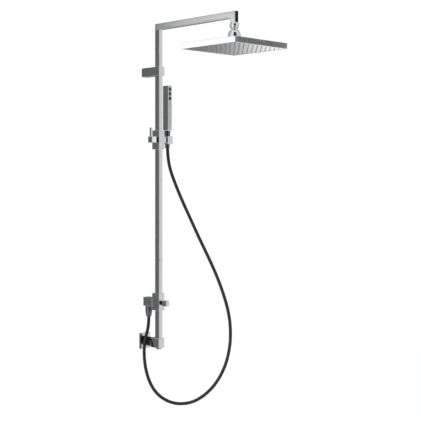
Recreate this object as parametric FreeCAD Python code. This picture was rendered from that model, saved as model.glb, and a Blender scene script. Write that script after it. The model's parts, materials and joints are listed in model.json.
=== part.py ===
import FreeCAD, Part

import math
import os

# Rainfall shower column for a wall. The origin is on the wall face, on the inlet's axis.
# +Z is up, the wall is the plane Y = 0, and the column stands off it towards -Y.

# Driving dimensions, in millimetres
TUBE_WIDE = 16.0         # riser and arm, across the column
TUBE_DEEP = 23.0         # riser and arm, along the wall's normal and the arm's height
TUBE_WALL = 1.5
TUBE_CORNER = 1.0        # outer corner radius of the tubes
STANDOFF = 80.0          # wall face to the riser's axis
ARM_HEIGHT = 1141.0      # arm's centre line above the inlet
ARM_REACH = 380.0        # riser's axis to the head's axis
ARM_LEG = 47.0           # riser's top end to the arm's centre line
ARM_DROP = 26.0          # arm's centre line to the lower end of its short drop
HEAD_SIDE = 250.0
HEAD_THICKNESS = 20.0
HEAD_WALL = 3.0
NOZZLE_ROWS = 11
NOZZLE_PITCH = 21.0
BLOCK_WALL = 5.0         # metal around the tube in every block on the riser
BLOCK_EDGE = 0.8         # rounding of the blocks' edges
BRACKET_HEIGHT = 981.0
BRACKET_TALL = 32.0
SLIDER_HEIGHT = 733.5
SLIDER_TALL = 69.0
SLIDER_BACK = 21.3       # riser's axis to the slider's rear face
LINER_WALL = 1.2
STOP_HEIGHT = 297.5
DIVERTER_HEIGHT = 148.5
DIVERTER_TALL = 62.0
DIVERTER_BACK = 21.8     # riser's axis to the diverter's rear face
OUTLET_TALL = 32.0
OUTLET_WALL_GAP = 9.0    # rear of the outlet block to the wall
OUTLET_STANDOFF = 25.0   # wall face to the hose outlet's axis
ELBOW_TALL = 35.4
ELBOW_BACK = 33.0        # riser's axis to the elbow's rear face
FLANGE_WIDE = 50.0
FLANGE_TALL = 58.0
FLANGE_THICK = 5.0
SOCKET_DEPTH = 14.0      # how far a tube stands in a block
GASKET = 2.0
THREAD_HALF = 10.4775    # half of the 20.955 mm pipe thread
THREAD_WALL_REACH = 16.0  # inlet thread behind the wall face
KNOB_WIDE = 15.0
KNOB_TALL = 19.5
KNOB_LONG = 23.0
BEZEL_LONG = 8.6
CLAMP_SIDE = 22.0
CLAMP_LONG = 21.2
CLAMP_NECK = 9.2
CLAMP_OFFSET = 2.5       # clamp's axis in front of the riser's axis
LEVER_SIDE = 8.0
LEVER_TALL = 32.5
HOLDER_NECK = 14.1       # slider's side to the handset holder
RING_SIDE = 24.0         # width of the handset holder
RING_DEEP = 32.0
RING_TALL = 28.0
PIN_RADIUS = 3.0
PIN_HEAD = 5.5
HANDSET_WIDE = 18.0
HANDSET_DEEP = 29.0
HANDSET_LONG = 164.0
HANDSET_WALL = 2.0
NUT_FOOT = 705.0         # height of the handset nut's lower end
NUT_LONG = 62.0
NUT_TOP_RADIUS = 11.0
NUT_FOOT_RADIUS = 8.2
BALL_RADIUS = 12.0
BALL_DROP = 35.0         # end of the arm's drop to the ball's centre
HOSE_RADIUS = 6.0

# Clearances, in millimetres
FIT = 0.15               # a piece seated in another and fixed to it
TURN = 0.1               # radial, round pin turning in its bore
CLEAR = 0.3              # faces that pass each other

# Places that follow from the sizes
AXIS = -STANDOFF
BLOCK = TUBE_WIDE + 2 * BLOCK_WALL
FRONT = AXIS - TUBE_DEEP / 2 - BLOCK_WALL
SEAM = ARM_HEIGHT - ARM_LEG
DROP_AXIS = AXIS - ARM_REACH
DROP_END = ARM_HEIGHT - ARM_DROP
DIVERTER_FOOT = DIVERTER_HEIGHT - DIVERTER_TALL / 2
DIVERTER_HEAD = DIVERTER_HEIGHT + DIVERTER_TALL / 2
LOWER_START = ELBOW_TALL / 2 - SOCKET_DEPTH + GASKET
LOWER_END = DIVERTER_FOOT + SOCKET_DEPTH - GASKET
UPPER_START = DIVERTER_HEAD - SOCKET_DEPTH + GASKET
CLAMP_AXIS = AXIS - CLAMP_OFFSET
HANDSET_X = BLOCK / 2 + CLEAR + HOLDER_NECK + RING_SIDE / 2

# Route of the hose's centre line, from the outlet nut round to the handset's nut
HOSE_ROUTE = [
    (0, -25, 91), (0, -25, 58), (-16, -30, 26), (-33, -38, -8), (-36, -41, -50), (-34, -47, -95),
    (-26, -58, -140), (-10, -73, -178), (15, -94, -206), (47, -123, -222), (84, -160, -218),
    (119, -192, -193), (152, -221, -149), (177, -243, -88), (191, -253, -19), (194, -254, 45),
    (190, -248, 107), (178, -234, 173), (161, -216, 240), (141, -194, 306), (119, -170, 373),
    (98, -148, 440), (76, -125, 509), (58, -105, 574), (44, -89, 633), (HANDSET_X, CLAMP_AXIS, 691.5),
    (HANDSET_X, CLAMP_AXIS, 749.4),
]

V = FreeCAD.Vector
ALONG_X, ALONG_Y, ALONG_Z = V(1, 0, 0), V(0, 1, 0), V(0, 0, 1)


def box(xs, ys, zs, edge=0.0, way=None):
    """A block between two planes on each axis, with its edges rounded, or only those along one way."""
    low = V(min(xs), min(ys), min(zs))
    shape = Part.makeBox(max(xs) - low.x, max(ys) - low.y, max(zs) - low.z, low)
    if edge:
        edges = shape.Edges
        if way:
            edges = [e for e in edges if abs(e.tangentAt(e.FirstParameter).dot(way)) > 0.9]
        shape = shape.makeFillet(edge, edges)
    return shape


def around(centre, size):
    """The two ends of a length about its middle."""
    return (centre - size / 2, centre + size / 2)


def rod(radius, start, length, way):
    return Part.makeCylinder(radius, length, start, way)


def ring(outer, inner, start, length, way):
    return rod(outer, start, length, way).cut(rod(inner, start, length, way))


def turned(profile, x, y):
    """A solid of revolution about a vertical axis, from (radius, height) points."""
    corners = [V(x + radius, y, height) for radius, height in profile]
    face = Part.Face(Part.makePolygon(corners + corners[:1]))
    return face.revolve(V(x, y, 0), ALONG_Z, 360)


def upright_bar(outside, bottom, top, corner=0.0):
    """A bar on the riser's axis whose faces lie that far outside the tube's own faces."""
    sides = around(0, TUBE_WIDE + 2 * outside), around(AXIS, TUBE_DEEP + 2 * outside)
    return box(*sides, (bottom, top), corner, ALONG_Z)


def tube(bottom, top):
    return upright_bar(0, bottom, top, TUBE_CORNER).cut(upright_bar(-TUBE_WALL, bottom, top))


def frame_ring(outer, inner, bottom, thick):
    """A ring of the tube's shape, between two distances outside the tube's faces."""
    return upright_bar(outer, bottom, bottom + thick).cut(upright_bar(inner, bottom, bottom + thick))


def save(name, *solids):
    shape = solids[0] if len(solids) == 1 else Part.makeCompound(list(solids))
    shape.exportStep(os.path.join("parts", name + ".step"))


def inlet():
    """Flange, threaded nipple, sleeve and elbow where the water comes out of the wall."""
    hole = THREAD_HALF + FIT
    back = AXIS + ELBOW_BACK
    washer_seat = back - SOCKET_DEPTH
    nipple_end = washer_seat + GASKET
    lip = 4.0
    gasket_thick = 2.5
    pocket_wide, pocket_tall = FLANGE_WIDE - 2 * lip, FLANGE_TALL - 2 * lip
    flange = box(around(0, FLANGE_WIDE), (-FLANGE_THICK, 0), around(0, FLANGE_TALL), BLOCK_EDGE)
    flange = flange.cut(box(around(0, pocket_wide), (-gasket_thick, 0), around(0, pocket_tall)))
    save("wall_flange", flange.cut(rod(hole, V(0, -FLANGE_THICK, 0), FLANGE_THICK, ALONG_Y)))

    pad = box(around(0, pocket_wide - 2 * FIT), (-gasket_thick, 0), around(0, pocket_tall - 2 * FIT))
    save("flange_gasket", pad.cut(rod(hole, V(0, -gasket_thick, 0), gasket_thick, ALONG_Y)))

    nipple_bore, relief = 7.5, 0.2
    nipple = ring(THREAD_HALF - relief, nipple_bore, V(0, nipple_end, 0), -nipple_end, ALONG_Y)
    thread = ring(THREAD_HALF, nipple_bore, V(0, 0, 0), THREAD_WALL_REACH, ALONG_Y)
    save("inlet_nipple", nipple.fuse(thread))
    save("inlet_washer", ring(THREAD_HALF, nipple_bore, V(0, washer_seat, 0), GASKET, ALONG_Y))

    sleeve_wide, sleeve_tall, sleeve_corner = 25.0, 33.0, 12.0
    sides = around(0, sleeve_wide), (back, -FLANGE_THICK), around(0, sleeve_tall)
    sleeve = box(*sides, sleeve_corner, ALONG_Y)
    save("inlet_sleeve", sleeve.cut(rod(hole, V(0, back, 0), -FLANGE_THICK - back, ALONG_Y)))

    waterway = 7.0
    plug_radius = 6.0
    plug_deep = 8.0
    edge = 2.2
    elbow = box(around(0, BLOCK), (FRONT, back), around(0, ELBOW_TALL), edge)
    cuts = [
        rod(hole, V(0, washer_seat, 0), back - washer_seat, ALONG_Y),
        rod(waterway, V(0, AXIS, 0), washer_seat - AXIS, ALONG_Y),
        rod(waterway, V(0, AXIS, 0), ELBOW_TALL, ALONG_Z),
        upright_bar(FIT, LOWER_START - GASKET, ELBOW_TALL),
        rod(plug_radius + FIT, V(0, AXIS, -ELBOW_TALL / 2), plug_deep, ALONG_Z),
    ]
    save("inlet_elbow", elbow.cut(cuts))

    cap_radius, cap_thick = 9.0, 4.5
    foot = -ELBOW_TALL / 2
    stem = rod(plug_radius, V(0, AXIS, foot), plug_deep - FIT, ALONG_Z)
    cap = rod(cap_radius, V(0, AXIS, foot - cap_thick), cap_thick, ALONG_Z)
    cap = cap.makeFillet(1.2, [cap.Edges[i] for i in lowest_edges(cap)])
    save("elbow_plug", stem.fuse(cap))


def lowest_edges(shape):
    """Numbers of the edges that lie in the shape's lowest plane."""
    low = shape.BoundBox.ZMin
    return [i for i, e in enumerate(shape.Edges) if e.BoundBox.ZMax - low < 1e-6]


def riser():
    """The two lengths of rectangular tube, their end gaskets and the stop for the slider."""
    save("riser_lower", tube(LOWER_START, LOWER_END))
    seats = (LOWER_START - GASKET, LOWER_END, UPPER_START - GASKET)
    gasket_hole = -TUBE_WALL - 1.5
    save("tube_gaskets", *[frame_ring(0, gasket_hole, seat, GASKET) for seat in seats])

    shank, cap_radius, cap_thick, shank_long = 2.5, 8.0, 2.5, 8.0
    face = AXIS - TUBE_DEEP / 2
    grub = 2.5
    upper = tube(UPPER_START, SEAM)
    upper = upper.cut(rod(shank + FIT, V(0, face, STOP_HEIGHT), TUBE_WALL, ALONG_Y))
    screw_height = SEAM - 15.0
    upper = upper.cut(rod(grub + FIT, V(0, AXIS, screw_height), TUBE_DEEP, ALONG_Y))
    save("riser_upper", upper)

    cap = rod(cap_radius, V(0, face - cap_thick, STOP_HEIGHT), cap_thick, ALONG_Y)
    cap = cap.makeFillet(0.8, [e for e in cap.Edges if e.BoundBox.YMax < face - cap_thick + 1e-6])
    save("riser_stop", cap.fuse(rod(shank, V(0, face, STOP_HEIGHT), shank_long, ALONG_Y)))

    # sleeve that joins the riser to the arm, with two seals and a grub screw at the back
    sleeve_half, sleeve_wall = 30.0, 1.5
    sleeve_skin = -TUBE_WALL - 0.05
    groove_tall, groove_deep, groove_away = 2.5, 0.8, 22.0
    sleeve = frame_ring(sleeve_skin, sleeve_skin - sleeve_wall, SEAM - sleeve_half, 2 * sleeve_half)
    seals = []
    for side in (-1, 1):
        foot = SEAM + side * groove_away - groove_tall / 2
        floor = sleeve_skin - groove_deep
        sleeve = sleeve.cut(frame_ring(0, floor, foot, groove_tall))
        seals.append(frame_ring(-TUBE_WALL, floor, foot, groove_tall))
    back = AXIS + TUBE_DEEP / 2
    grub_long = TUBE_WALL + sleeve_wall
    sleeve = sleeve.cut(rod(grub + FIT, V(0, AXIS, screw_height), TUBE_DEEP, ALONG_Y))
    save("arm_coupling", sleeve)
    save("coupling_seals", *seals)
    save("coupling_screw", rod(grub, V(0, back - grub_long, screw_height), grub_long, ALONG_Y))


def arm():
    """Rectangular tube with two mitred corners, and the threaded outlet in its short drop."""
    corners = [V(0, AXIS, SEAM), V(0, AXIS, ARM_HEIGHT), V(0, DROP_AXIS, ARM_HEIGHT), V(0, DROP_AXIS, DROP_END)]
    path = Part.makePolygon(corners)
    mitred = 1
    skins = []
    for outside, corner in ((0, TUBE_CORNER), (-TUBE_WALL, 0.0)):
        bar = upright_bar(outside, SEAM, SEAM + 1, corner)
        foot = min(bar.Faces, key=lambda face: face.CenterOfMass.z)
        skins.append(path.makePipeShell([foot.OuterWire], True, False, mitred))
    save("overhead_arm", skins[0].cut(skins[1]))

    spigot, stub, waterway = 14.0, 15.0, 4.5
    smaller = 2 * TUBE_WALL + 0.1
    sides = around(0, TUBE_WIDE - smaller), around(DROP_AXIS, TUBE_DEEP - smaller)
    plug = box(*sides, (DROP_END, DROP_END + spigot))
    thread = rod(THREAD_HALF, V(0, DROP_AXIS, DROP_END - stub), stub, ALONG_Z)
    bore = rod(waterway, V(0, DROP_AXIS, DROP_END - stub), stub + spigot, ALONG_Z)
    save("arm_outlet", plug.fuse(thread).cut(bore))
    return DROP_END - stub


def swivel(stub_foot):
    """Round nut with the ball below it, the ball's seat, and the bell nut that carries the head."""
    at = V(0, DROP_AXIS, 0)
    nut_radius, nut_tall, neck, waterway = 16.0, 21.0, 6.0, 4.0
    thread_bore = THREAD_HALF + FIT
    washer_bore = 6.0
    centre = DROP_END - BALL_DROP
    nut_foot = DROP_END - nut_tall
    nut = Part.makeSphere(nut_radius, V(0, DROP_AXIS, DROP_END - nut_tall / 2))
    slab = (around(0, 4 * nut_radius), around(DROP_AXIS, 4 * nut_radius))
    nut = nut.common(box(*slab, (nut_foot, DROP_END)))
    nut = nut.cut(rod(thread_bore, at + V(0, 0, stub_foot - GASKET), nut_tall, ALONG_Z))
    stem = rod(neck, at + V(0, 0, centre), nut_foot - centre, ALONG_Z)
    ball = nut.fuse([stem, Part.makeSphere(BALL_RADIUS, V(0, DROP_AXIS, centre))])
    ball = ball.cut(rod(waterway, at + V(0, 0, centre - BALL_RADIUS), DROP_END - centre + BALL_RADIUS, ALONG_Z))
    save("swivel_ball", ball)
    save("swivel_washer", ring(THREAD_HALF, washer_bore, at + V(0, 0, stub_foot - GASKET), GASKET, ALONG_Z))

    seat_inner = BALL_RADIUS + CLEAR
    seat_outer = seat_inner + 1.1
    seat_low, seat_high = -1.0, 7.0
    seat = Part.makeSphere(seat_outer, V(0, DROP_AXIS, centre))
    seat = seat.cut(Part.makeSphere(seat_inner, V(0, DROP_AXIS, centre)))
    save("swivel_seat", seat.common(box(*slab, (centre + seat_low, centre + seat_high))))

    cavity = seat_outer + CLEAR
    bell_radius, mouth_height, dome_below = 21.5, 10.0, 8.0
    bell_foot = centre - 28.0
    dome = centre - dome_below
    bell = Part.makeSphere(bell_radius, V(0, DROP_AXIS, dome))
    bell = bell.common(box(*slab, (dome, centre + mouth_height)))
    bell = bell.fuse(rod(bell_radius, at + V(0, 0, bell_foot), dome - bell_foot, ALONG_Z))
    bell = bell.cut(Part.makeSphere(cavity, V(0, DROP_AXIS, centre)))
    bell = bell.cut(rod(cavity, at + V(0, 0, bell_foot), centre - bell_foot, ALONG_Z))
    save("bell_nut", bell.removeSplitter())
    return centre, bell_foot, cavity, seat_inner


def head(centre, bell_foot, cavity, cup):
    """Square overhead head: inlet boss, shell, spray mat, face plate and their small pieces."""
    at = V(0, DROP_AXIS, 0)
    flange_radius, flange_tall = 20.0, 6.0
    top = bell_foot - flange_tall
    foot = top - HEAD_THICKNESS
    roof = 1.5
    boss_top = centre - 5.0
    spigot, nut_radius, nut_tall, waterway = 9.0, 14.0, 4.0, 6.0
    spigot_long = roof + nut_tall + 1.0
    boss = rod(flange_radius, at + V(0, 0, top), flange_tall, ALONG_Z)
    boss = boss.fuse(rod(cavity - FIT, at + V(0, 0, bell_foot), boss_top - bell_foot, ALONG_Z))
    boss = boss.fuse(rod(spigot, at + V(0, 0, top - spigot_long), spigot_long, ALONG_Z))
    boss = boss.cut(Part.makeSphere(cup, V(0, DROP_AXIS, centre)))
    boss = boss.cut(rod(waterway, at + V(0, 0, top - spigot_long), boss_top, ALONG_Z))
    save("head_inlet", boss)

    disc_thick, disc_hole = 2.0, 2.0
    save("flow_disc", ring(waterway - 0.05, disc_hole, at + V(0, 0, bell_foot), disc_thick, ALONG_Z))
    locknut = ring(nut_radius, spigot + FIT, at + V(0, 0, top - roof - nut_tall), nut_tall, ALONG_Z)
    save("head_locknut", locknut)

    inside = HEAD_SIDE - 2 * HEAD_WALL
    plate_side = inside - 2 * FIT
    ledge = 3.0
    upper = inside - 2 * ledge
    recess, plate, mat = 0.5, 2.5, 1.5
    plate_foot = foot + recess
    mat_foot = plate_foot + plate
    square = (lambda side: (around(0, side), around(DROP_AXIS, side)))
    shell = box(*square(HEAD_SIDE), (foot, top), BLOCK_EDGE)
    shell = shell.cut(box(*square(inside), (foot, mat_foot + mat)))
    shell = shell.cut(box(*square(upper), (mat_foot + mat, top - roof)))
    save("head_shell", shell.cut(rod(spigot + FIT, at + V(0, 0, top - roof), roof, ALONG_Z)))

    gasket = box(*square(plate_side), (mat_foot, mat_foot + mat))
    gasket = gasket.cut(box(*square(upper), (mat_foot, mat_foot + mat)))
    save("head_gasket", gasket)

    root_radius, tip_radius, proud, tip_bore = 2.2, 1.5, 1.5, 0.7
    last = (NOZZLE_ROWS - 1) / 2
    offsets = [NOZZLE_PITCH * (i - last) for i in range(NOZZLE_ROWS)]
    tip = plate_foot - proud
    holes, nozzles, bores = [], [], []
    for dx in offsets:
        for dy in offsets:
            spot = V(dx, DROP_AXIS + dy, 0)
            holes.append(rod(root_radius + FIT, spot + V(0, 0, plate_foot), plate, ALONG_Z))
            cone = Part.makeCone(tip_radius, root_radius, mat_foot - tip, spot + V(0, 0, tip), ALONG_Z)
            nozzles.append(cone)
            bores.append(rod(tip_bore, spot + V(0, 0, tip), mat_foot + mat - tip, ALONG_Z))
    face = box(*square(plate_side), (plate_foot, mat_foot), 0.4, ALONG_Z)
    save("head_face", face.cut(Part.makeCompound(holes)))
    spray = box(*square(upper - 2 * FIT), (mat_foot, mat_foot + mat))
    save("spray_mat", spray.fuse(nozzles).cut(Part.makeCompound(bores)))


def bracket():
    """Upper wall bracket, the mounting block that is screwed to the wall inside it, and its screw."""
    pocket, pocket_tall, pocket_deep = BLOCK - 6.0, 24.0, 16.0
    grub, hole = 2.4, 2.25
    body = box(around(0, BLOCK), (FRONT, 0), around(BRACKET_HEIGHT, BRACKET_TALL), BLOCK_EDGE)
    insert_side, insert_tall, insert_thick = pocket - 2 * FIT, pocket_tall - 2 * FIT, 9.0
    underside = BRACKET_HEIGHT - BRACKET_TALL / 2
    cuts = [
        box(around(0, pocket), (-pocket_deep, 0), around(BRACKET_HEIGHT, pocket_tall)),
        upright_bar(FIT, underside, underside + BRACKET_TALL),
        rod(grub + 0.1, V(0, -insert_thick / 2, underside), BRACKET_TALL / 2, ALONG_Z),
    ]
    save("bracket_body", body.cut(cuts))

    spacing = 14.0
    insert = box(around(0, insert_side), (-insert_thick, 0), around(BRACKET_HEIGHT, insert_tall))
    holes = []
    for side in (-1, 1):
        spot = V(0, -insert_thick, BRACKET_HEIGHT + side * spacing / 2)
        holes.append(rod(hole, spot, insert_thick, ALONG_Y))
    save("bracket_mount", insert.cut(holes))
    insert_foot = BRACKET_HEIGHT - insert_tall / 2
    screw = rod(grub, V(0, -insert_thick / 2, underside + 0.3), insert_foot - underside - 0.3, ALONG_Z)
    save("bracket_screw", screw)


def diverter():
    """Diverter block on the riser, its cartridge and knob, and the hose outlet behind it."""
    knob_height = DIVERTER_HEIGHT - 3.0
    outlet_height = DIVERTER_HEIGHT - 3.5
    cartridge, cartridge_long, stem, waterway = 8.0, 23.0, 3.0, 5.0
    spigot, spigot_long = 7.0, 5.8
    back = AXIS + DIVERTER_BACK
    body = box(around(0, BLOCK), (FRONT, back), (DIVERTER_FOOT, DIVERTER_HEAD), BLOCK_EDGE)
    cuts = [
        upright_bar(FIT, DIVERTER_FOOT, DIVERTER_FOOT + SOCKET_DEPTH),
        upright_bar(FIT, DIVERTER_HEAD - SOCKET_DEPTH, DIVERTER_HEAD),
        rod(waterway, V(0, AXIS, DIVERTER_FOOT), DIVERTER_TALL, ALONG_Z),
        rod(cartridge + FIT, V(0, FRONT, knob_height), cartridge_long, ALONG_Y),
        rod(spigot + FIT, V(0, back - spigot_long - 0.2, outlet_height), spigot_long + 0.2, ALONG_Y),
        rod(waterway, V(0, AXIS, outlet_height), DIVERTER_BACK, ALONG_Y),
    ]
    save("diverter_body", body.cut(cuts))

    stem_end = 18.0
    valve = rod(cartridge, V(0, FRONT, knob_height), cartridge_long, ALONG_Y)
    save("diverter_cartridge", valve.cut(rod(stem + TURN, V(0, FRONT, knob_height), stem_end, ALONG_Y)))
    bezel = 7.2
    save("diverter_bezel", ring(bezel, stem + TURN, V(0, FRONT - BEZEL_LONG, knob_height), BEZEL_LONG, ALONG_Y))

    knob_back = FRONT - BEZEL_LONG - CLEAR
    knob = box(around(0, KNOB_WIDE), (knob_back - KNOB_LONG, knob_back), around(knob_height, KNOB_TALL), BLOCK_EDGE)
    grip = 15.0
    knob = knob.cut(rod(stem + 0.05, V(0, knob_back - grip, knob_height), grip, ALONG_Y))
    screw = 2.0
    screw_at = V(0, knob_back - grip / 2, knob_height - KNOB_TALL / 2)
    screw_long = KNOB_TALL / 2 - stem - 0.1
    knob = knob.cut(rod(screw + 0.1, screw_at, KNOB_TALL / 2, ALONG_Z))
    save("diverter_knob", knob)
    save("knob_screw", rod(screw, screw_at, screw_long, ALONG_Z))
    shaft_start = V(0, knob_back - grip, knob_height)
    save("diverter_stem", rod(stem, shaft_start, FRONT + stem_end - CLEAR - shaft_start.y, ALONG_Y))

    hole = THREAD_HALF + FIT
    thread_deep, nipple_bore = 11.0, 6.2
    low = outlet_height - OUTLET_TALL / 2
    block = box(around(0, BLOCK), (back, -OUTLET_WALL_GAP), (low, low + OUTLET_TALL), BLOCK_EDGE)
    block = block.fuse(rod(spigot, V(0, back - spigot_long, outlet_height), spigot_long, ALONG_Y))
    passage_end = -OUTLET_STANDOFF
    cuts = [
        rod(waterway, V(0, back - spigot_long, outlet_height), passage_end - back + spigot_long, ALONG_Y),
        rod(hole, V(0, passage_end, low), thread_deep, ALONG_Z),
        rod(waterway, V(0, passage_end, low), outlet_height - low, ALONG_Z),
    ]
    save("diverter_outlet", block.cut(cuts))

    below = 13.0
    nipple_foot = low - below
    base = V(0, passage_end, nipple_foot)
    save("outlet_nipple", ring(THREAD_HALF, nipple_bore, base, below + thread_deep, ALONG_Z))
    save("outlet_washer", ring(THREAD_HALF, nipple_bore, base - V(0, 0, GASKET), GASKET, ALONG_Z))

    nut_radius, nut_waist, hose_bore = 12.5, 9.5, 3.5
    floor = nipple_foot - GASKET
    hose_start = HOSE_ROUTE[0][2]
    outside = [(nut_waist, hose_start), (nut_radius, floor - 4), (nut_radius, low), (hole, low), (hole, floor)]
    save("outlet_nut", turned(outside + [(hose_bore, floor), (hose_bore, hose_start)], 0, passage_end))


def slider():
    """Block that slides on the riser, its liner, and the clamp that locks it."""
    low, high = around(SLIDER_HEIGHT, SLIDER_TALL)
    gap = CLEAR + LINER_WALL
    screw = 3.0
    side = -BLOCK / 2
    centre = V(0, CLAMP_AXIS, SLIDER_HEIGHT)
    body = box(around(0, BLOCK), (FRONT, AXIS + SLIDER_BACK), (low, high), BLOCK_EDGE)
    cuts = [
        upright_bar(gap, low, high),
        rod(screw + TURN, centre + V(side, 0, 0), BLOCK / 2, ALONG_X),
        rod(PIN_RADIUS + TURN, centre, BLOCK / 2, ALONG_X),
    ]
    save("slider_body", body.cut(cuts))

    shoe = 4.5
    liner_face = -TUBE_WIDE / 2 - gap
    shoe_at = centre + V(liner_face, 0, 0)
    holes = [
        rod(shoe + 0.1, shoe_at, 2 * LINER_WALL, ALONG_X),
        rod(PIN_HEAD + TURN, centre + V(-liner_face - 2 * LINER_WALL, 0, 0), 2 * LINER_WALL, ALONG_X),
    ]
    save("slider_liner", frame_ring(gap, CLEAR, low + 1, SLIDER_TALL - 2).cut(holes))
    save("clamp_shoe", rod(shoe, shoe_at, LINER_WALL, ALONG_X))

    # clamp: screw through the slider's side, dark neck, square knob and its upright lever
    neck_radius = 10.5
    neck_start = side - CLEAR
    knob_start = neck_start - CLAMP_NECK
    knob_end = knob_start - CLAMP_LONG
    screw_end = knob_start - CLAMP_LONG * 0.5
    screw_base = centre + V(screw_end, 0, 0)
    save("clamp_screw", rod(screw, screw_base, liner_face - CLEAR - screw_end, ALONG_X))
    neck_base = centre + V(knob_start, 0, 0)
    save("clamp_neck", ring(neck_radius, screw + 0.05, neck_base, CLAMP_NECK, ALONG_X))
    knob = box((knob_end, knob_start), *clamp_square(), BLOCK_EDGE)
    knob = knob.cut(rod(screw + 0.05, screw_base, knob_start - screw_end, ALONG_X))
    lever_root = SLIDER_HEIGHT + CLAMP_SIDE / 2 - 6.0
    lever_top = SLIDER_HEIGHT + CLAMP_SIDE / 2 + LEVER_TALL
    lever_x = around(knob_end + 1 + LEVER_SIDE / 2, LEVER_SIDE)
    socket_x = around(knob_end + 1 + LEVER_SIDE / 2, LEVER_SIDE + 0.1)
    knob = knob.cut(box(socket_x, around(CLAMP_AXIS, LEVER_SIDE + 0.1), (lever_root, lever_top)))
    save("clamp_knob", knob)
    save("clamp_lever", box(lever_x, around(CLAMP_AXIS, LEVER_SIDE), (lever_root, lever_top), BLOCK_EDGE))


def clamp_square():
    """Sides of the square pieces on the clamp's axis, along Y and Z."""
    return around(CLAMP_AXIS, CLAMP_SIDE), around(SLIDER_HEIGHT, CLAMP_SIDE)


def nut_radius_at(height):
    """Outer radius of the handset's conical nut at a height."""
    return NUT_FOOT_RADIUS + (NUT_TOP_RADIUS - NUT_FOOT_RADIUS) * (height - NUT_FOOT) / NUT_LONG


def holder():
    """Conical holder for the handset, on a square neck that tilts about a pin in the slider's side."""
    low, high = around(SLIDER_HEIGHT - 0.5, RING_TALL)
    side = BLOCK / 2
    neck_start = side + CLEAR
    centre = V(0, CLAMP_AXIS, SLIDER_HEIGHT)
    block = box(around(HANDSET_X, RING_SIDE), around(CLAMP_AXIS, RING_DEEP), (low, high), BLOCK_EDGE)
    neck = box((neck_start, HANDSET_X), *clamp_square(), BLOCK_EDGE)
    cone = Part.makeCone(
        nut_radius_at(low) + CLEAR, nut_radius_at(high) + CLEAR, RING_TALL,
        V(HANDSET_X, CLAMP_AXIS, low), ALONG_Z,
    )
    slot = HOSE_RADIUS + 0.6
    pin_long = 9.0
    cuts = [
        cone,
        box((HANDSET_X, HANDSET_X + RING_SIDE), around(CLAMP_AXIS, 2 * slot), (low, high)),
        rod(PIN_RADIUS + 0.05, centre + V(neck_start, 0, 0), pin_long, ALONG_X),
    ]
    save("handset_holder", block.fuse(neck).cut(cuts))

    # shoulder screw whose head sits in the slider's liner
    inside = TUBE_WIDE / 2 + CLEAR
    head_thick = LINER_WALL - 0.2
    head = rod(PIN_HEAD, centre + V(inside, 0, 0), head_thick, ALONG_X)
    shank = rod(PIN_RADIUS, centre + V(inside, 0, 0), neck_start + pin_long - inside, ALONG_X)
    save("holder_pin", head.fuse(shank))


def handset():
    """Stick handset with three nozzles, its waterway, and the hose's conical nut."""
    nut_top = NUT_FOOT + NUT_LONG
    tail, washer_bore = 8.3, 5.0
    hose_bore = HOSE_RADIUS + CLEAR
    washer_foot = HOSE_ROUTE[-1][2]
    tail_foot = washer_foot + GASKET + CLEAR
    profile = [
        (NUT_FOOT_RADIUS, NUT_FOOT), (NUT_TOP_RADIUS, nut_top), (tail + TURN, nut_top),
        (tail + TURN, washer_foot), (hose_bore, washer_foot), (hose_bore, NUT_FOOT),
    ]
    axis = V(HANDSET_X, CLAMP_AXIS, 0)
    save("handset_nut", turned(profile, axis.x, axis.y))
    save("handset_washer", ring(tail, washer_bore, axis + V(0, 0, washer_foot), GASKET, ALONG_Z))

    base = nut_top + CLEAR
    top = base + HANDSET_LONG
    taper = 2.5
    bar = (lambda smaller: (around(axis.x, HANDSET_WIDE - smaller), around(axis.y, HANDSET_DEEP - smaller)))
    plug = 6.0
    shell = box(*bar(0), (base + taper, top), BLOCK_EDGE)
    shell = shell.cut(box(*bar(2 * HANDSET_WALL), (base + taper, top - HANDSET_WALL)))
    pitch, first = 16.6, 13.4
    wide, tall, proud = 11.0, 12.0, 0.8
    face = axis.y - HANDSET_DEEP / 2
    inserts = []
    for i in range(3):
        height = top - first - i * pitch
        window = (around(axis.x, wide + 0.2), (face, face + HANDSET_WALL), around(height, tall + 0.2))
        shell = shell.cut(box(*window))
        insert = box(around(axis.x, wide), (face - proud, face + HANDSET_WALL), around(height, tall), 0.5)
        inserts.append(insert)
    save("handset_shell", shell)
    save("handset_nozzles", *inserts)

    way, core_smaller = 5.0, 2 * HANDSET_WALL + 0.1
    core_top = top - HANDSET_WALL
    core = box(*bar(core_smaller), (base + taper + plug, core_top))
    core = core.cut(rod(way, axis + V(0, 0, base + taper), HANDSET_LONG - taper - 8, ALONG_Z))
    save("handset_waterway", core)

    outlines = []
    for smaller, height in ((3.0, base), (0.0, base + taper)):
        (left, right), (front, rear) = bar(smaller)
        plane = Part.makePlane(right - left, rear - front, V(left, front, height))
        outlines.append(plane.OuterWire)
    cap = Part.makeLoft(outlines, True, True)
    cap = cap.fuse(box(*bar(core_smaller), (base + taper, base + taper + plug)))
    cap = cap.fuse(rod(tail, axis + V(0, 0, tail_foot), base - tail_foot, ALONG_Z))
    cap = cap.cut(rod(way, axis + V(0, 0, tail_foot), taper + plug + base - tail_foot, ALONG_Z))
    save("handset_tail", cap)


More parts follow.
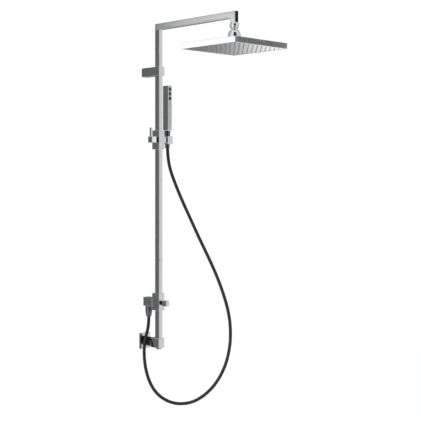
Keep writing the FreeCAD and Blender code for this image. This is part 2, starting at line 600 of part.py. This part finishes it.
def hose():
    """Plain tube along straight runs joined by tangent arcs."""
    points = [V(*point) for point in HOSE_ROUTE]
    share = 0.45
    edges, radii, here = [], [], points[0]
    for before, corner, after in zip(points, points[1:], points[2:]):
        into, out = (corner - before).normalize(), (after - corner).normalize()
        cut = share * min(corner.distanceToPoint(before), corner.distanceToPoint(after))
        half_turn = into.getAngle(out) / 2
        radii.append(cut / math.tan(half_turn))
        start, end = corner - into * cut, corner + out * cut
        to_centre = (out - into).normalize()
        middle = corner + to_centre * (radii[-1] / math.cos(half_turn) - radii[-1])
        edges.append(Part.LineSegment(here, start).toShape())
        edges.append(Part.Arc(start, middle, end).toShape())
        here = end
    edges.append(Part.LineSegment(here, points[-1]).toShape())
    path = Part.Wire(edges)
    section = Part.Wire(Part.makeCircle(HOSE_RADIUS, points[0], points[1] - points[0]))
    body = path.makePipeShell([section], True, False)
    expected = math.pi * HOSE_RADIUS ** 2 * path.Length
    print("hose length %.0f mm, volume over section times length %.4f" % (path.Length, body.Volume / expected))
    print("hose radii", [round(radius) for radius in radii])
    save("hose", body)


os.makedirs("parts", exist_ok=True)
inlet()
riser()
swivel_places = swivel(arm())
head(*swivel_places)
bracket()
diverter()
slider()
holder()
handset()
hose()
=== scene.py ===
import json
import math

import bpy
import numpy as np
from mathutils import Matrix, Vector


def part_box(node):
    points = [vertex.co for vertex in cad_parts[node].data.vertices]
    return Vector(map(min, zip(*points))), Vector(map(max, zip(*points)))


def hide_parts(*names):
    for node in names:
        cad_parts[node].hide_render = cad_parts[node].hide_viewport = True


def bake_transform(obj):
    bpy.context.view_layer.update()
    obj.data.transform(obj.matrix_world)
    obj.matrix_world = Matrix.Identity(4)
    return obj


# Rainfall shower column: camera, hose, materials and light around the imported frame.
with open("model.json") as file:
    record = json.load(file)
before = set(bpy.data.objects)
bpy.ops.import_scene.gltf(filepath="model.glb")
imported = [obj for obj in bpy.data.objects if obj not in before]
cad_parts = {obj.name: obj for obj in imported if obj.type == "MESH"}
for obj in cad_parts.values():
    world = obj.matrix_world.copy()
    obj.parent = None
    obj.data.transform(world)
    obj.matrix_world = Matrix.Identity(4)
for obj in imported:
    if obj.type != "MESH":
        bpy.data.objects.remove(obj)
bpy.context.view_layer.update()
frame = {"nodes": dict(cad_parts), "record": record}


def middle(node):
    low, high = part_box(node)
    return (low + high) / 2


RISER = middle("riser_upper")

# Camera: level, turned from the wall's normal, in front and to the left of the column
VIEW_TURN = math.radians(44.5)
FORWARD = Vector((math.sin(VIEW_TURN), math.cos(VIEW_TURN), 0))
RIGHT = Vector((math.cos(VIEW_TURN), -math.sin(VIEW_TURN), 0))
CAMERA_AWAY = 3.55
CAMERA_ASIDE = 0.187
CAMERA_HEIGHT = 0.597
LENS = 84.0
LENS_SHIFT = -0.078


def add_camera():
    data = bpy.data.cameras.new("camera")
    data.sensor_width = 36
    data.lens = LENS
    data.shift_y = LENS_SHIFT
    camera = bpy.data.objects.new("camera", data)
    aim = Vector((RISER.x, RISER.y, CAMERA_HEIGHT))
    camera.location = aim - CAMERA_AWAY * FORWARD + CAMERA_ASIDE * RIGHT
    camera.rotation_euler = (math.pi / 2, 0, -VIEW_TURN)
    bpy.context.scene.collection.objects.link(camera)
    bpy.context.scene.camera = camera


# Materials

def material(name):
    """A new material, its nodes, its shader and the surface's own coordinates."""
    made = bpy.data.materials.new(name)
    made.use_nodes = True
    nodes = made.node_tree.nodes
    shader = nodes["Principled BSDF"]
    place = nodes.new("ShaderNodeTexCoord").outputs["Object"]
    return made, nodes, shader, place


def link(made, start, end):
    made.node_tree.links.new(start, end)


def noise(made, place, scale, detail=2.0, stretch=(1, 1, 1)):
    nodes = made.node_tree.nodes
    mapping = nodes.new("ShaderNodeMapping")
    mapping.inputs["Scale"].default_value = stretch
    link(made, place, mapping.inputs["Vector"])
    texture = nodes.new("ShaderNodeTexNoise")
    texture.inputs["Scale"].default_value = scale
    texture.inputs["Detail"].default_value = detail
    link(made, mapping.outputs["Vector"], texture.inputs["Vector"])
    return texture.outputs["Fac"]


def between(made, factor, low, high):
    """A texture's value spread between two numbers."""
    ranged = made.node_tree.nodes.new("ShaderNodeMapRange")
    ranged.inputs["From Min"].default_value = 0.3
    ranged.inputs["From Max"].default_value = 0.7
    ranged.inputs["To Min"].default_value = low
    ranged.inputs["To Max"].default_value = high
    link(made, factor, ranged.inputs["Value"])
    return ranged.outputs["Result"]


def shade(made, factor, dark, light):
    """A texture's value spread between two colours."""
    ramp = made.node_tree.nodes.new("ShaderNodeValToRGB")
    ramp.color_ramp.elements[0].position = 0.3
    ramp.color_ramp.elements[0].color = (*dark, 1)
    ramp.color_ramp.elements[1].position = 0.7
    ramp.color_ramp.elements[1].color = (*light, 1)
    link(made, factor, ramp.inputs["Fac"])
    return ramp.outputs["Color"]


def bump(made, factor, strength, depth):
    node = made.node_tree.nodes.new("ShaderNodeBump")
    node.inputs["Strength"].default_value = strength
    node.inputs["Distance"].default_value = depth
    link(made, factor, node.inputs["Height"])
    return node.outputs["Normal"]


def finish_material(name, dark, light, rough, scale, stretch=(1, 1, 1), metallic=0.0, relief=None, shine=0.5):
    """A surface whose colour and roughness vary with one noise.

    The relief, a noise scale and a depth in metres, is a second and finer noise.
    """
    made, nodes, shader, place = material(name)
    shader.inputs["Metallic"].default_value = metallic
    shader.inputs["Specular IOR Level"].default_value = shine
    factor = noise(made, place, scale, stretch=stretch)
    link(made, shade(made, factor, dark, light), shader.inputs["Base Color"])
    link(made, between(made, factor, *rough), shader.inputs["Roughness"])
    if relief:
        fine_scale, depth = relief
        fine = noise(made, place, fine_scale, stretch=stretch)
        link(made, bump(made, fine, 0.5, depth), shader.inputs["Normal"])
    return made


MATERIALS = {
    "chrome": finish_material(
        "polished_chrome", (0.80, 0.81, 0.83), (0.86, 0.87, 0.885), (0.035, 0.06), 55, metallic=1.0
    ),
    # Chrome darkened in its base colour: a painted dark reflection, for the chrome nuts
    "chrome_painted_dark_reflection": finish_material(
        "chrome_painted_dark_reflection", (0.13, 0.13, 0.14), (0.19, 0.19, 0.20), (0.05, 0.09), 55, metallic=1.0
    ),
    "face_steel": finish_material(
        "satin_steel", (0.76, 0.76, 0.775), (0.83, 0.83, 0.845), (0.14, 0.20), 220,
        stretch=(1, 18, 1), metallic=1.0, relief=(420, 0.00003)
    ),
    "steel": finish_material(
        "plain_steel", (0.50, 0.50, 0.52), (0.62, 0.62, 0.64), (0.25, 0.38), 160, metallic=1.0
    ),
    "brass": finish_material(
        "machined_brass", (0.66, 0.49, 0.22), (0.80, 0.63, 0.33), (0.18, 0.32), 190,
        stretch=(1, 1, 8), metallic=1.0, relief=(500, 0.00004)
    ),
    "black_plastic": finish_material(
        "black_plastic", (0.004, 0.004, 0.005), (0.010, 0.010, 0.011), (0.28, 0.42), 260,
        relief=(1800, 0.00004), shine=0.15
    ),
    "black_rubber": finish_material(
        "black_rubber", (0.012, 0.012, 0.012), (0.028, 0.028, 0.028), (0.6, 0.8), 240,
        relief=(1500, 0.00005)
    ),
    "silicone": finish_material(
        "grey_silicone", (0.16, 0.165, 0.18), (0.24, 0.245, 0.26), (0.42, 0.56), 260, relief=(1500, 0.00004)
    ),
    "dark_nozzle": finish_material(
        "dark_nozzle_plastic", (0.015, 0.015, 0.017), (0.035, 0.035, 0.038), (0.2, 0.34), 320,
        relief=(1600, 0.00003)
    ),
    "hose_metal": finish_material(
        "spiral_hose_metal", (0.045, 0.045, 0.048), (0.085, 0.085, 0.09), (0.14, 0.22), 420, metallic=1.0
    ),
}


# Pieces whose seen face has another finish than their metal: the cartridge shows chrome, and the outlet and
# handset nuts take chrome darkened in its colour, a painted dark reflection
FINISH_AND_PAINTED_REFLECTION = {"outlet_nut": "chrome_painted_dark_reflection", "handset_nut": "chrome_painted_dark_reflection", "diverter_cartridge": "chrome"}


def paint_frame():
    """Each CAD node takes the finish of its slot, apart from the pieces listed above; the nuts among them get
    a painted dark reflection.
    """
    for subpart in frame["record"]["subparts"]:
        node = subpart["node"]
        for holder in frame["nodes"][node].material_slots:
            holder.material = MATERIALS[FINISH_AND_PAINTED_REFLECTION.get(node, subpart["material_slot"])]


# Hose: spiral metal tube along a smooth line, in metres

HOSE_DIAMETER = 0.012
HOSE_PITCH = 0.0042
GROOVE_DEPTH = 0.0007
HOSE_ROUTE = [
    (0, -0.025, 0.091), (0, -0.025, 0.058), (-0.016, -0.03, 0.026), (-0.033, -0.038, -0.008),
    (-0.036, -0.041, -0.05), (-0.034, -0.047, -0.095), (-0.026, -0.058, -0.14), (-0.01, -0.073, -0.178),
    (0.015, -0.094, -0.206), (0.047, -0.123, -0.222), (0.084, -0.16, -0.218), (0.119, -0.192, -0.193),
    (0.152, -0.221, -0.149), (0.177, -0.243, -0.088), (0.191, -0.253, -0.019), (0.194, -0.254, 0.045),
    (0.19, -0.248, 0.107), (0.178, -0.234, 0.173), (0.161, -0.216, 0.24), (0.141, -0.194, 0.306),
    (0.119, -0.17, 0.373), (0.098, -0.148, 0.44), (0.076, -0.125, 0.509), (0.058, -0.105, 0.574),
    (0.044, -0.089, 0.633), (0.0394, -0.0825, 0.6915), (0.0394, -0.0825, 0.7494),
]
HOSE_SPLIT = 23          # the route's point where the lower length ends


def smooth_line(points, resolution=24):
    """Points along the NURBS spline that has these control points."""
    data = bpy.data.curves.new("route", "CURVE")
    data.dimensions = "3D"
    spline = data.splines.new("NURBS")
    spline.points.add(len(points) - 1)
    for point, place in zip(spline.points, points):
        point.co = (*place, 1)
    spline.order_u = 3
    spline.use_endpoint_u = True
    spline.resolution_u = resolution
    data.resolution_u = resolution
    route = bpy.data.objects.new("route", data)
    bpy.context.scene.collection.objects.link(route)
    bpy.context.view_layer.update()
    mesh = bpy.data.meshes.new_from_object(route)
    line = np.array([v.co for v in mesh.vertices], float)
    bpy.data.meshes.remove(mesh)
    bpy.data.objects.remove(route)
    return line


def along(line):
    """Distance from the line's start to each of its points."""
    steps = np.linalg.norm(np.diff(line, axis=0), axis=1)
    return np.concatenate([[0.0], np.cumsum(steps)])


def mesh_piece(name, vertices, faces, finish):
    mesh = bpy.data.meshes.new(name)
    mesh.from_pydata([tuple(v) for v in vertices], [], faces)
    mesh.update()
    mesh.polygons.foreach_set("use_smooth", [True] * len(mesh.polygons))
    piece = bpy.data.objects.new(name, mesh)
    bpy.context.scene.collection.objects.link(piece)
    mesh.materials.append(MATERIALS[finish])
    return piece


def ridge(turn):
    """Height of the interlocked strip across one turn, from 0 at the groove to 1 on the crown."""
    groove = 0.22
    turn = turn % 1.0
    side = min(turn, 1 - turn) / groove
    return math.sin(min(side, 1.0) * math.pi / 2)


def spiral_tube(name, line, start, end, rings_per_turn=6, sides=18):
    """Helical ridges around the stretch of a line between two distances along it."""
    distance = along(line)
    count = max(2, round((end - start) / HOSE_PITCH * rings_per_turn))
    stations = np.linspace(start, end, count + 1)
    centres = np.stack([np.interp(stations, distance, line[:, axis]) for axis in range(3)], axis=1)
    reach = 0.0005       # half the step that gives the line's direction
    ahead = np.stack([np.interp(stations + reach, distance, line[:, axis]) for axis in range(3)], axis=1)
    behind = np.stack([np.interp(stations - reach, distance, line[:, axis]) for axis in range(3)], axis=1)
    vertices = []
    side = Vector((1, 0, 0))
    for centre, direction, station in zip(centres, ahead - behind, stations):
        way = Vector(direction).normalized()
        side = (side - way * side.dot(way)).normalized()
        across = way.cross(side)
        for i in range(sides):
            angle = 2 * math.pi * i / sides
            height = ridge(station / HOSE_PITCH - i / sides)
            radius = HOSE_DIAMETER / 2 - GROOVE_DEPTH * (1 - height)
            vertices.append(Vector(centre) + radius * (side * math.cos(angle) + across * math.sin(angle)))
    faces = []
    for ring in range(count):
        for i in range(sides):
            j = (i + 1) % sides
            low, high = ring * sides, (ring + 1) * sides
            faces.append((low + i, low + j, high + j, high + i))
    faces.append(tuple(reversed(range(sides))))
    faces.append(tuple(count * sides + i for i in range(sides)))
    return mesh_piece(name, vertices, faces, "hose_metal"), centres


def add_hose():
    """Two lengths: the loop between the outlet and the slider, and the end up to the holder."""
    line = smooth_line(HOSE_ROUTE)
    distance = along(line)
    gaps = np.linalg.norm(line - np.array(HOSE_ROUTE[HOSE_SPLIT]), axis=1)
    split = distance[int(np.argmin(gaps))]
    total = distance[-1]

    lower, path = spiral_tube("hose_loop", line, 0.0, split)
    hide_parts("hose")
    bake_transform(lower)

    upper, upper_path = spiral_tube("hose_upper", line, split, total)
    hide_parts("hose")
    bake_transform(upper)


# Light: the camera and soft light see plain white, and mirrors see a studio of dark and light walls

# Grey level of the walls by the angle from the view direction, in degrees
AROUND = [
    (-180, 0.005), (-166, 0.005), (-160, 1.0), (-104, 0.80), (-97, 0.135), (-82, 0.135), (-76, 0.80),
    (-62, 0.85), (-56, 0.10), (-48, 0.45), (-40, 0.45), (-34, 0.10), (-1.5, 0.16), (0.3, 0.21), (1.5, 0.42),
    (3, 0.90), (4.6, 1.25), (10, 1.25), (20, 0.12), (36, 0.12), (41, 0.45), (49, 0.45), (53, 0.12),
    (58, 0.85), (72, 0.70), (104, 0.68), (112, 0.90), (131, 0.55), (139, 0.55), (143, 0.005), (180, 0.005),
]
BRIGHTEST = 1.25         # the ramp holds at most 1, so this brings its levels back up
# Least level of the dark wall behind the camera below the horizon, by share of a full turn
BEHIND = [(0, 0.40), (0.04, 0.40), (0.06, 0.0), (0.88, 0.0), (0.90, 0.30), (1, 0.40)]
BEHIND_FALL = (0.05, 0.11)   # sines of the slopes between which that level comes in
# Where the studio turns lighter above (1) and below (-1): sines of two slopes, and the share of plain light
SLOPES = [(1, 0.19, 0.26, 0.05), (-1, 0.19, 0.26, 0.45), (1, 0.80, 0.95, 1.0), (-1, 0.80, 0.95, 1.0)]
PLAIN = 0.95


def dot_with(nodes, links, place, way):
    node = nodes.new("ShaderNodeVectorMath")
    node.operation = "DOT_PRODUCT"
    node.inputs[1].default_value = way
    links.new(place, node.inputs[0])
    return node.outputs["Value"]


def map_range(nodes, links, value, start, end, most=1.0):
    node = nodes.new("ShaderNodeMapRange")
    node.inputs["From Min"].default_value = start
    node.inputs["From Max"].default_value = end
    node.inputs["To Max"].default_value = most
    links.new(value, node.inputs["Value"])
    return node.outputs["Result"]


def grey_ramp(nodes, links, factor, stops):
    """Grey levels at places from 0 to 1."""
    ramp = nodes.new("ShaderNodeValToRGB")
    while len(ramp.color_ramp.elements) < len(stops):
        ramp.color_ramp.elements.new(1.0)
    for stop, (place, level) in zip(ramp.color_ramp.elements, stops):
        stop.position = place
        stop.color = (level, level, level, 1)
    links.new(factor, ramp.inputs["Fac"])
    return ramp.outputs["Color"]


def add_world():
    """Plain white, except for reflections, which see the walls."""
    world = bpy.data.worlds.new("studio")
    world.use_nodes = True
    nodes, links = world.node_tree.nodes, world.node_tree.links
    nodes.clear()
    place = nodes.new("ShaderNodeTexCoord").outputs["Generated"]
    turn = nodes.new("ShaderNodeMath")
    turn.operation = "ARCTAN2"
    links.new(dot_with(nodes, links, place, RIGHT), turn.inputs[0])
    links.new(dot_with(nodes, links, place, FORWARD), turn.inputs[1])
    share = map_range(nodes, links, turn.outputs["Value"], -math.pi, math.pi)
    stops = [((angle + 180) / 360, level / BRIGHTEST) for angle, level in AROUND]
    walls = grey_ramp(nodes, links, share, stops)

    grey = nodes.new("ShaderNodeMix")
    grey.data_type = "RGBA"
    grey.blend_type = "LIGHTEN"
    fall = dot_with(nodes, links, place, (0, 0, -1))
    links.new(map_range(nodes, links, fall, *BEHIND_FALL), grey.inputs["Factor"])
    links.new(walls, grey.inputs["A"])
    links.new(grey_ramp(nodes, links, share, BEHIND), grey.inputs["B"])
    walls = grey.outputs["Result"]

    level = PLAIN / BRIGHTEST
    for way, start, end, most in SLOPES:
        mixed = nodes.new("ShaderNodeMix")
        mixed.data_type = "RGBA"
        rise = dot_with(nodes, links, place, (0, 0, way))
        links.new(map_range(nodes, links, rise, start, end, most), mixed.inputs["Factor"])
        links.new(walls, mixed.inputs["A"])
        mixed.inputs["B"].default_value = (level, level, level, 1)
        walls = mixed.outputs["Result"]

    mirrored = nodes.new("ShaderNodeBackground")
    mirrored.inputs["Strength"].default_value = BRIGHTEST
    links.new(walls, mirrored.inputs["Color"])
    plain = nodes.new("ShaderNodeBackground")
    plain.inputs["Color"].default_value = (1, 1, 1, 1)
    choose = nodes.new("ShaderNodeMixShader")
    links.new(nodes.new("ShaderNodeLightPath").outputs["Is Glossy Ray"], choose.inputs["Fac"])
    links.new(plain.outputs["Background"], choose.inputs[1])
    links.new(mirrored.outputs["Background"], choose.inputs[2])
    links.new(choose.outputs["Shader"], nodes.new("ShaderNodeOutputWorld").inputs["Surface"])
    bpy.context.scene.world = world


def plain_object(name, corners, finish):
    mesh = bpy.data.meshes.new(name)
    mesh.from_pydata([tuple(corner) for corner in corners], [], [tuple(range(len(corners)))])
    mesh.materials.append(finish)
    made = bpy.data.objects.new(name, mesh)
    bpy.context.scene.collection.objects.link(made)
    return made


def add_screen(name, low, high, axis, way, stops, margin=0.004, spread=1.5):
    """A glowing screen, seen only in reflections, where the camera finds it in the lower face of a box.

    The face lies across an axis, the stops are grey levels along a direction, and the margin widens the face.
    """
    eye = bpy.context.scene.camera.location.copy()
    eye[axis] = 2 * low[axis] - eye[axis]
    first, second = [i for i in range(3) if i != axis]
    corners = []
    for a, b in ((0, 0), (1, 0), (1, 1), (0, 1)):
        corner = low.copy()
        corner[first] = high[first] + margin if a else low[first] - margin
        corner[second] = high[second] + margin if b else low[second] - margin
        corners.append(eye + spread * (corner - eye))
    glow = bpy.data.materials.new(name)
    glow.use_nodes = True
    nodes, links = glow.node_tree.nodes, glow.node_tree.links
    nodes.clear()
    lamp = nodes.new("ShaderNodeEmission")
    way = Vector(way)
    reach = [corner.dot(way) for corner in corners]
    place = dot_with(nodes, links, nodes.new("ShaderNodeTexCoord").outputs["Object"], way)
    share = map_range(nodes, links, place, min(reach), max(reach))
    brightest = max(level for _, level in stops)
    levels = grey_ramp(nodes, links, share, [(at, level / brightest) for at, level in stops])
    links.new(levels, lamp.inputs["Color"])
    lamp.inputs["Strength"].default_value = brightest
    links.new(lamp.outputs["Emission"], nodes.new("ShaderNodeOutputMaterial").inputs["Surface"])
    screen = plain_object(name, corners, glow)
    screen.visible_camera = False
    screen.visible_diffuse = False
    screen.visible_shadow = False
    screen.visible_transmission = False


def add_screens():
    """Screens for the faces that are lit apart from the rest of the column."""
    head_low, head_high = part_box("head_shell")
    arm_low, arm_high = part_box("overhead_arm")
    knob_low, knob_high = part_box("clamp_knob")
    tube = (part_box("riser_upper")[1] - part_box("riser_upper")[0]).y
    bar_low = Vector((arm_low.x, arm_low.y, arm_high.z - tube))
    drop_high = Vector((arm_high.x, arm_low.y + tube, bar_low.z))
    add_screen("screen_head_side", head_low, head_high, 0, (0, 1, 0), [(0, 1.3), (1, 1.3)])
    add_screen("screen_head_front", head_low, head_high, 1, (1, 0, 0), [(0, 0.15), (1, 0.17)])
    rising = [(0, 0.32), (0.35, 0.58), (1, 0.78)]
    add_screen("screen_arm_side", bar_low, arm_high, 0, (0, -1, 0), rising, margin=0)
    add_screen("screen_drop_side", arm_low, drop_high, 0, (0, -1, 0), [(0, 0.9), (1, 0.9)], margin=0)
    add_screen("screen_arm_end", arm_low, arm_high, 1, (1, 0, 0), [(0, 0.002), (1, 0.002)], margin=0.04)
    add_screen("screen_clamp_front", knob_low, knob_high, 1, (1, 0, 0), [(0, 0.92), (1, 0.92)])
    add_screen("screen_handset_front", *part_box("handset_shell"), 1, (1, 0, 0), [(0, 0.54), (1, 0.40)])


def add_floor():
    level, half = -2.6, 14.0     # height and half width, in metres
    corners = [(-half, -half, level), (half, -half, level), (half, half, level), (-half, half, level)]
    made, nodes, shader, place = material("pale_floor")
    mottled = shade(made, noise(made, place, 3), (0.90, 0.90, 0.90), (0.93, 0.93, 0.93))
    link(made, mottled, shader.inputs["Base Color"])
    shader.inputs["Roughness"].default_value = 0.9
    shader.inputs["Emission Color"].default_value = (1, 1, 1, 1)
    shader.inputs["Emission Strength"].default_value = 0.12
    floor = plain_object("floor", corners, made)
    floor.visible_glossy = False


add_camera()
add_hose()
paint_frame()
add_world()
add_screens()
add_floor()
bpy.context.scene.view_settings.view_transform = "Standard"
